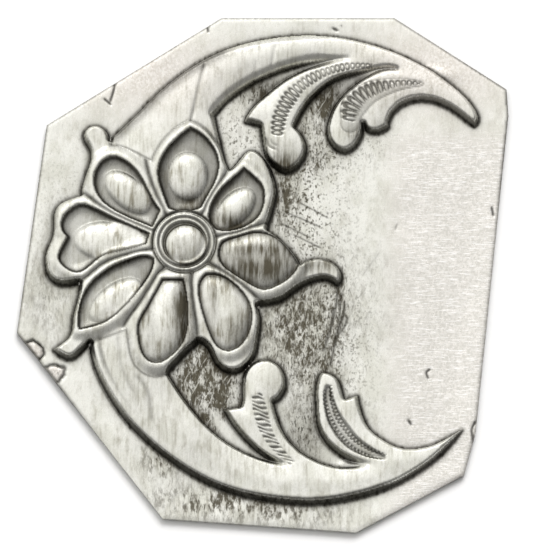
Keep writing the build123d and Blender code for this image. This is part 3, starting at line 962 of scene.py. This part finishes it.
def plate_piece(name, outline, inner_top, inner_back):
    """A closed piece of sheet between the front and the back, with the painted maps on its vertices."""
    upper, upper_faces, upper_from = skin(outline, inner_top)
    lower, lower_faces, lower_from = skin(outline, inner_back)
    count = len(upper)
    places = np.zeros((count + len(lower), 3))
    places[:count, :2] = upper
    places[count:, :2] = lower
    places[:count, 2] = at(height, upper)
    places[count:, 2] = at(back, lower)
    faces = [tuple(f) for f in upper_faces]
    faces += [tuple(count + k for k in reversed(f)) for f in lower_faces]
    above = {source: k for k, source in enumerate(upper_from) if 0 <= source < len(outline)}
    below = {source: count + k for k, source in enumerate(lower_from) if 0 <= source < len(outline)}
    rims = set()
    for k in range(len(outline)):
        following = (k + 1) % len(outline)
        faces.append((above[k], below[k], below[following], above[following]))
        rims.add(frozenset((above[k], above[following])))
        rims.add(frozenset((below[k], below[following])))
    mesh = bpy.data.meshes.new(name)
    mesh.from_pydata((places * MM).tolist(), [], faces)
    mesh.validate()
    paint_maps(mesh, upper, [(above[k], below[k]) for k in above])
    mesh.shade_smooth()
    for edge in mesh.edges:
        edge.use_edge_sharp = frozenset(edge.vertices) in rims
    return placed(name, mesh)


clear_of_rim = to_rim > RIM_CLEARANCE
sheet_outline = closely(outer_loop(SHEET_NODE), SHEET_OUTLINE_STEP)
sheet = plate_piece("silver_sheet", sheet_outline, front_points(), back_points())
pieces = [(sheet, SHEET_NODE)]
for flake in FLAKE_NODES:
    flake_outline = closely(outer_loop(flake), FLAKE_OUTLINE_STEP)
    centre = flake_outline.mean(axis=0)
    inner = np.vstack([centre + (flake_outline - centre) * share for share in (0.75, 0.5, 0.25)])
    pieces.append((plate_piece(flake + "_torn", flake_outline, inner, inner), flake))

# -------------------------------- material
PALE_SILVER = (0.83, 0.83, 0.78)
GREY_SILVER = (0.725, 0.725, 0.66)
SMUDGED = (0.44, 0.42, 0.36)
ROSY = (0.74, 0.675, 0.625)
ROSY_GRAIN = (0.98, 0.95, 0.91)
BRUSHED = (0.665, 0.65, 0.61)
BRUSH_LINE = (1.0, 0.99, 0.98)
STREAKED = (0.26, 0.24, 0.18)
SMEARED = (0.12, 0.11, 0.085)
# brown of the stain, which also gives the painted shade on the domes' sides
STAIN_AND_SHADE_BROWN = (0.105, 0.095, 0.070)
FLECKED = (0.05, 0.045, 0.035)
DOTTED = (0.10, 0.09, 0.065)
# black of the patina, which also gives the painted shade on the walls
PATINA_AND_SHADE_BLACK = (0.030, 0.026, 0.018)


def dial(node, settings):
    """Sets a node's inputs by name."""
    for name, value in settings.items():
        node.inputs[name].default_value = value


def map_range(tree, source, start, end, low, high, smooth=True):
    """A value that runs from low to high as the source runs from start to end."""
    made = tree.nodes.new("ShaderNodeMapRange")
    made.interpolation_type = "SMOOTHSTEP" if smooth else "LINEAR"
    dial(made, {"From Min": start, "From Max": end, "To Min": low, "To Max": high})
    tree.links.new(source, made.inputs["Value"])
    return made.outputs["Result"]


class Finish:
    """A node material built by named steps."""

    def __init__(self, name):
        """An empty metal material, whose noises lie on the object's own coordinates."""
        self.material = bpy.data.materials.new(name)
        self.material.use_nodes = True
        self.tree = self.material.node_tree
        self.shader = self.tree.nodes["Principled BSDF"]
        self.place = self.add("ShaderNodeTexCoord").outputs["Object"]

    def add(self, kind, **settings):
        """A new node with its settings."""
        made = self.tree.nodes.new(kind)
        for key, value in settings.items():
            setattr(made, key, value)
        return made

    def join(self, source, target):
        """Sets a socket to a number or a colour, or links it to another node."""
        if isinstance(source, (int, float)):
            target.default_value = source
        elif isinstance(source, tuple):
            target.default_value = (*source, 1.0)
        else:
            self.tree.links.new(source, target)

    def math(self, operation, first, second, clamp=False):
        """One sum, difference or product, kept within 0 and 1 if clamped."""
        made = self.add("ShaderNodeMath", operation=operation, use_clamp=clamp)
        self.join(first, made.inputs[0])
        self.join(second, made.inputs[1])
        return made.outputs[0]

    def times(self, first, second, clamp=False):
        """The product of two values."""
        return self.math("MULTIPLY", first, second, clamp)

    def painted(self, name):
        """One of the maps painted on the mesh."""
        return self.add("ShaderNodeAttribute", attribute_name=name).outputs["Fac"]

    def noise(self, per_mm, detail=3.0, roughness=0.6, warp=0.0, turned=0):
        """Noise whose grain is so many cells per mm each way, turned by some degrees about Z."""
        rotated = self.add("ShaderNodeVectorRotate", rotation_type="Z_AXIS")
        rotated.inputs["Angle"].default_value = math.radians(turned)
        self.tree.links.new(self.place, rotated.inputs["Vector"])
        scaled = self.add("ShaderNodeVectorMath", operation="MULTIPLY")
        self.tree.links.new(rotated.outputs[0], scaled.inputs[0])
        scaled.inputs[1].default_value = [n / MM for n in per_mm]
        made = self.add("ShaderNodeTexNoise")
        self.tree.links.new(scaled.outputs[0], made.inputs["Vector"])
        dial(made, {"Scale": 1.0, "Detail": detail, "Roughness": roughness, "Distortion": warp})
        return made.outputs["Fac"]

    def between(self, value, start, end, low=0.0, high=1.0):
        """The low value up to start, the high value from end on, and a smooth change between."""
        return map_range(self.tree, value, start, end, low, high)

    def mix(self, share, first, second):
        """A blend of two colours."""
        made = self.add("ShaderNodeMix", data_type="RGBA")
        self.join(share, made.inputs["Factor"])
        self.join(first, made.inputs["A"])
        self.join(second, made.inputs["B"])
        return made.outputs["Result"]


def bare_metal(finish, cloud, streaks, smudge, specks, brush):
    """Silver with clouds, smudges, the warm upper rim, the brushed field and the polishing streaks."""
    buff = finish.painted("buff")
    brushed_share = finish.painted("brushed")
    metal = finish.mix(finish.between(cloud, 0.40, 0.62), PALE_SILVER, GREY_SILVER)
    metal = finish.mix(finish.between(smudge, 0.50, 0.72, 0.0, 0.40), metal, SMUDGED)
    metal = finish.mix(finish.times(buff, 0.6), metal, ROSY)
    metal = finish.mix(finish.times(brushed_share, 0.85), metal, BRUSHED)
    brush_lines = finish.times(brushed_share, finish.between(brush, 0.53, 0.61, 0.0, 0.9))
    metal = finish.mix(brush_lines, metal, BRUSH_LINE)
    clouded = finish.between(cloud, 0.40, 0.58, 0.25, 1.0)
    patchy = finish.times(clouded, finish.between(streaks, 0.42, 0.72))
    dark_streaks = finish.times(finish.painted("streak"), patchy)
    metal = finish.mix(finish.times(dark_streaks, 0.9), metal, STREAKED)
    grained = finish.times(buff, finish.between(specks, 0.44, 0.58, 0.0, 0.7))
    return finish.mix(grained, metal, ROSY_GRAIN)


def metal_with_stain_and_shade(finish, metal, streaks, smudge, specks, mottle):
    """The metal with its smears, stains with painted shade and highlights, dark dashes, dots, and patina
    with painted shade laid over it.
    """
    stain_and_painted_light_share = finish.painted("stain_and_painted_light")
    low_share = finish.painted("low_ground")
    fibres = finish.noise((2.2, 0.8, 1.0), detail=8.0, roughness=0.78, warp=0.3)
    smudged = finish.between(smudge, 0.42, 0.56, 0.25, 1.0)
    fibrous = finish.times(smudged, finish.between(fibres, 0.43, 0.56))
    metal = finish.mix(finish.times(finish.painted("smear"), fibrous, clamp=True), metal, SMEARED)

    # the stain, with the painted shade and highlights it carries, is patchy on low ground and even on raised
    # work, and pale slashes cross it
    broken_up = finish.between(fibres, 0.41, 0.58, 0.22, 1.35)
    patchy = finish.times(broken_up, finish.between(smudge, 0.40, 0.60, 0.55, 1.25))
    patchy = finish.times(patchy, low_share)
    high_share = finish.math("SUBTRACT", 1.0, low_share)
    even = finish.times(high_share, finish.between(streaks, 0.38, 0.62, 0.60, 1.05))
    tint = finish.times(stain_and_painted_light_share, finish.math("ADD", patchy, even), clamp=True)
    slashes = finish.noise((3.6, 0.35, 1.0), detail=2.0, turned=32)
    cut = finish.times(finish.between(slashes, 0.61, 0.68, 0.0, 0.6), low_share)
    tint = finish.times(tint, finish.math("SUBTRACT", 1.0, cut))
    metal = finish.mix(tint, metal, STAIN_AND_SHADE_BROWN)

    dash_noise = finish.noise((4.5, 1.3, 3.0), detail=2.0)
    flecks = finish.times(finish.between(dash_noise, 0.56, 0.63), finish.between(stain_and_painted_light_share, 0.1, 0.5))
    flecks = finish.times(flecks, finish.between(low_share, 0.0, 1.0, 0.3, 1.0))
    metal = finish.mix(finish.times(flecks, 0.8), metal, FLECKED)
    dots = finish.times(finish.between(specks, 0.52, 0.58), finish.between(mottle, 0.46, 0.52))
    dots = finish.times(dots, finish.math("ADD", finish.painted("fleck"), 0.08), clamp=True)
    metal = finish.mix(dots, metal, DOTTED)
    # patina and painted shade, laid on last
    broken = finish.times(finish.painted("patina_and_shade"), finish.between(streaks, 0.2, 0.6, 1.0, 0.8))
    return finish.mix(broken, metal, PATINA_AND_SHADE_BLACK)


def antiqued_silver():
    """Polished silver with blackening in its recesses, painted shade on its walls and domes, and a fine
    grain.
    """
    finish = Finish("antiqued_silver_finish")
    cloud = finish.noise((0.45, 0.30, 0.45), detail=4.0)
    streaks = finish.noise((2.6, 0.32, 1.0), detail=3.0, roughness=0.5)
    smudge = finish.noise((1.5, 0.55, 1.0), detail=5.0, roughness=0.65)
    specks = finish.noise((3.8, 3.2, 3.8), detail=3.0)
    mottle = finish.noise((2.8, 1.3, 2.6), detail=6.0, roughness=0.8)
    brush = finish.noise((0.8, 7.0, 1.0), detail=4.0, roughness=0.7)
    grain = finish.noise((8.0, 3.0, 5.0), detail=3.0)

    metal = bare_metal(finish, cloud, streaks, smudge, specks, brush)
    colour = metal_with_stain_and_shade(finish, metal, streaks, smudge, specks, mottle)
    finish.join(colour, finish.shader.inputs["Base Color"])
    dial(finish.shader, {"Metallic": 1.0})
    finish.join(finish.between(mottle, 0.3, 0.7, 0.22, 0.38), finish.shader.inputs["Roughness"])

    brushing = finish.times(finish.painted("brushed"), brush)
    bump = finish.add("ShaderNodeBump")
    dial(bump, {"Strength": 0.35, "Distance": 0.04 * MM})
    finish.join(finish.math("ADD", grain, brushing), bump.inputs["Height"])
    finish.join(bump.outputs["Normal"], finish.shader.inputs["Normal"])
    return finish.material


silver = antiqued_silver()
for piece, node in pieces:
    piece.data.materials.append(silver)
    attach(piece, "root")
    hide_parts(node)


# -------------------------------- stage, light and camera
def floor():
    """A plain pale floor."""
    mesh = bpy.data.meshes.new("floor")
    half = 3.0
    corners = [(-half, -half, 0), (half, -half, 0), (half, half, 0), (-half, half, 0)]
    mesh.from_pydata(corners, [], [(0, 1, 2, 3)])
    paint = bpy.data.materials.new("pale_floor")
    paint.use_nodes = True
    dial(paint.node_tree.nodes["Principled BSDF"], {"Base Color": (0.9, 0.9, 0.9, 1), "Roughness": 0.9})
    mesh.materials.append(paint)
    made = placed("floor", mesh)


def sky():
    """Bright above and to the north, dim low in the south and east, with a white glow at the horizon."""
    world = bpy.data.worlds.new("studio")
    bpy.context.scene.world = world
    world.use_nodes = True
    tree = world.node_tree
    direction = tree.nodes.new("ShaderNodeTexCoord").outputs["Generated"]
    northward = tree.nodes.new("ShaderNodeVectorMath")
    northward.operation = "DOT_PRODUCT"
    northward.inputs[1].default_value = (-0.50, 0.95, 1.0)
    tree.links.new(direction, northward.inputs[0])
    shade = map_range(tree, northward.outputs["Value"], 0.30, 1.45, 0.28, 1.20)
    parts = tree.nodes.new("ShaderNodeSeparateXYZ")
    tree.links.new(direction, parts.inputs["Vector"])
    glow = map_range(tree, parts.outputs["Z"], 0.05, 0.12, 1.1, 0.0, smooth=False)
    brighter = tree.nodes.new("ShaderNodeMath")
    brighter.operation = "MAXIMUM"
    tree.links.new(shade, brighter.inputs[0])
    tree.links.new(glow, brighter.inputs[1])
    tree.links.new(brighter.outputs["Value"], tree.nodes["Background"].inputs["Strength"])
    dial(tree.nodes["Background"], {"Color": (1.0, 0.99, 0.97, 1)})


def lamp():
    """Lights the floor, and leaves the metal to the sky."""
    light = bpy.data.lights.new("overhead", "SUN")
    light.energy = 2.4
    light.angle = math.radians(40)
    made = placed("overhead", light)
    made.rotation_euler = (math.radians(-46), math.radians(18), 0)
    made.visible_glossy = False


def window():
    """A soft box to the north, whose reflection gives the domes and shoulders their highlights."""
    light = bpy.data.lights.new("window", "AREA")
    light.shape = "RECTANGLE"
    light.size = 0.5
    light.size_y = 0.28
    light.energy = 1.0
    made = placed("window", light)
    made.location = (-0.12, 0.80, 0.95)
    made.rotation_euler = Vector(made.location).to_track_quat("Z", "Y").to_euler()


def camera():
    """A long lens that looks down from the south, as in the picture."""
    lens = bpy.data.cameras.new("camera")
    lens.sensor_width = 36.0
    lens.lens = CAMERA_LENS
    made = placed("camera", lens)
    tilt = math.radians(CAMERA_ELEVATION)
    aim = Vector(CAMERA_AIM) * MM
    made.location = aim + Vector((0, -math.cos(tilt), math.sin(tilt))) * CAMERA_DISTANCE
    made.rotation_euler = (math.radians(90) - tilt, 0, 0)
    bpy.context.scene.camera = made


floor()
sky()
lamp()
window()
camera()
bpy.context.scene.view_settings.view_transform = "Standard"
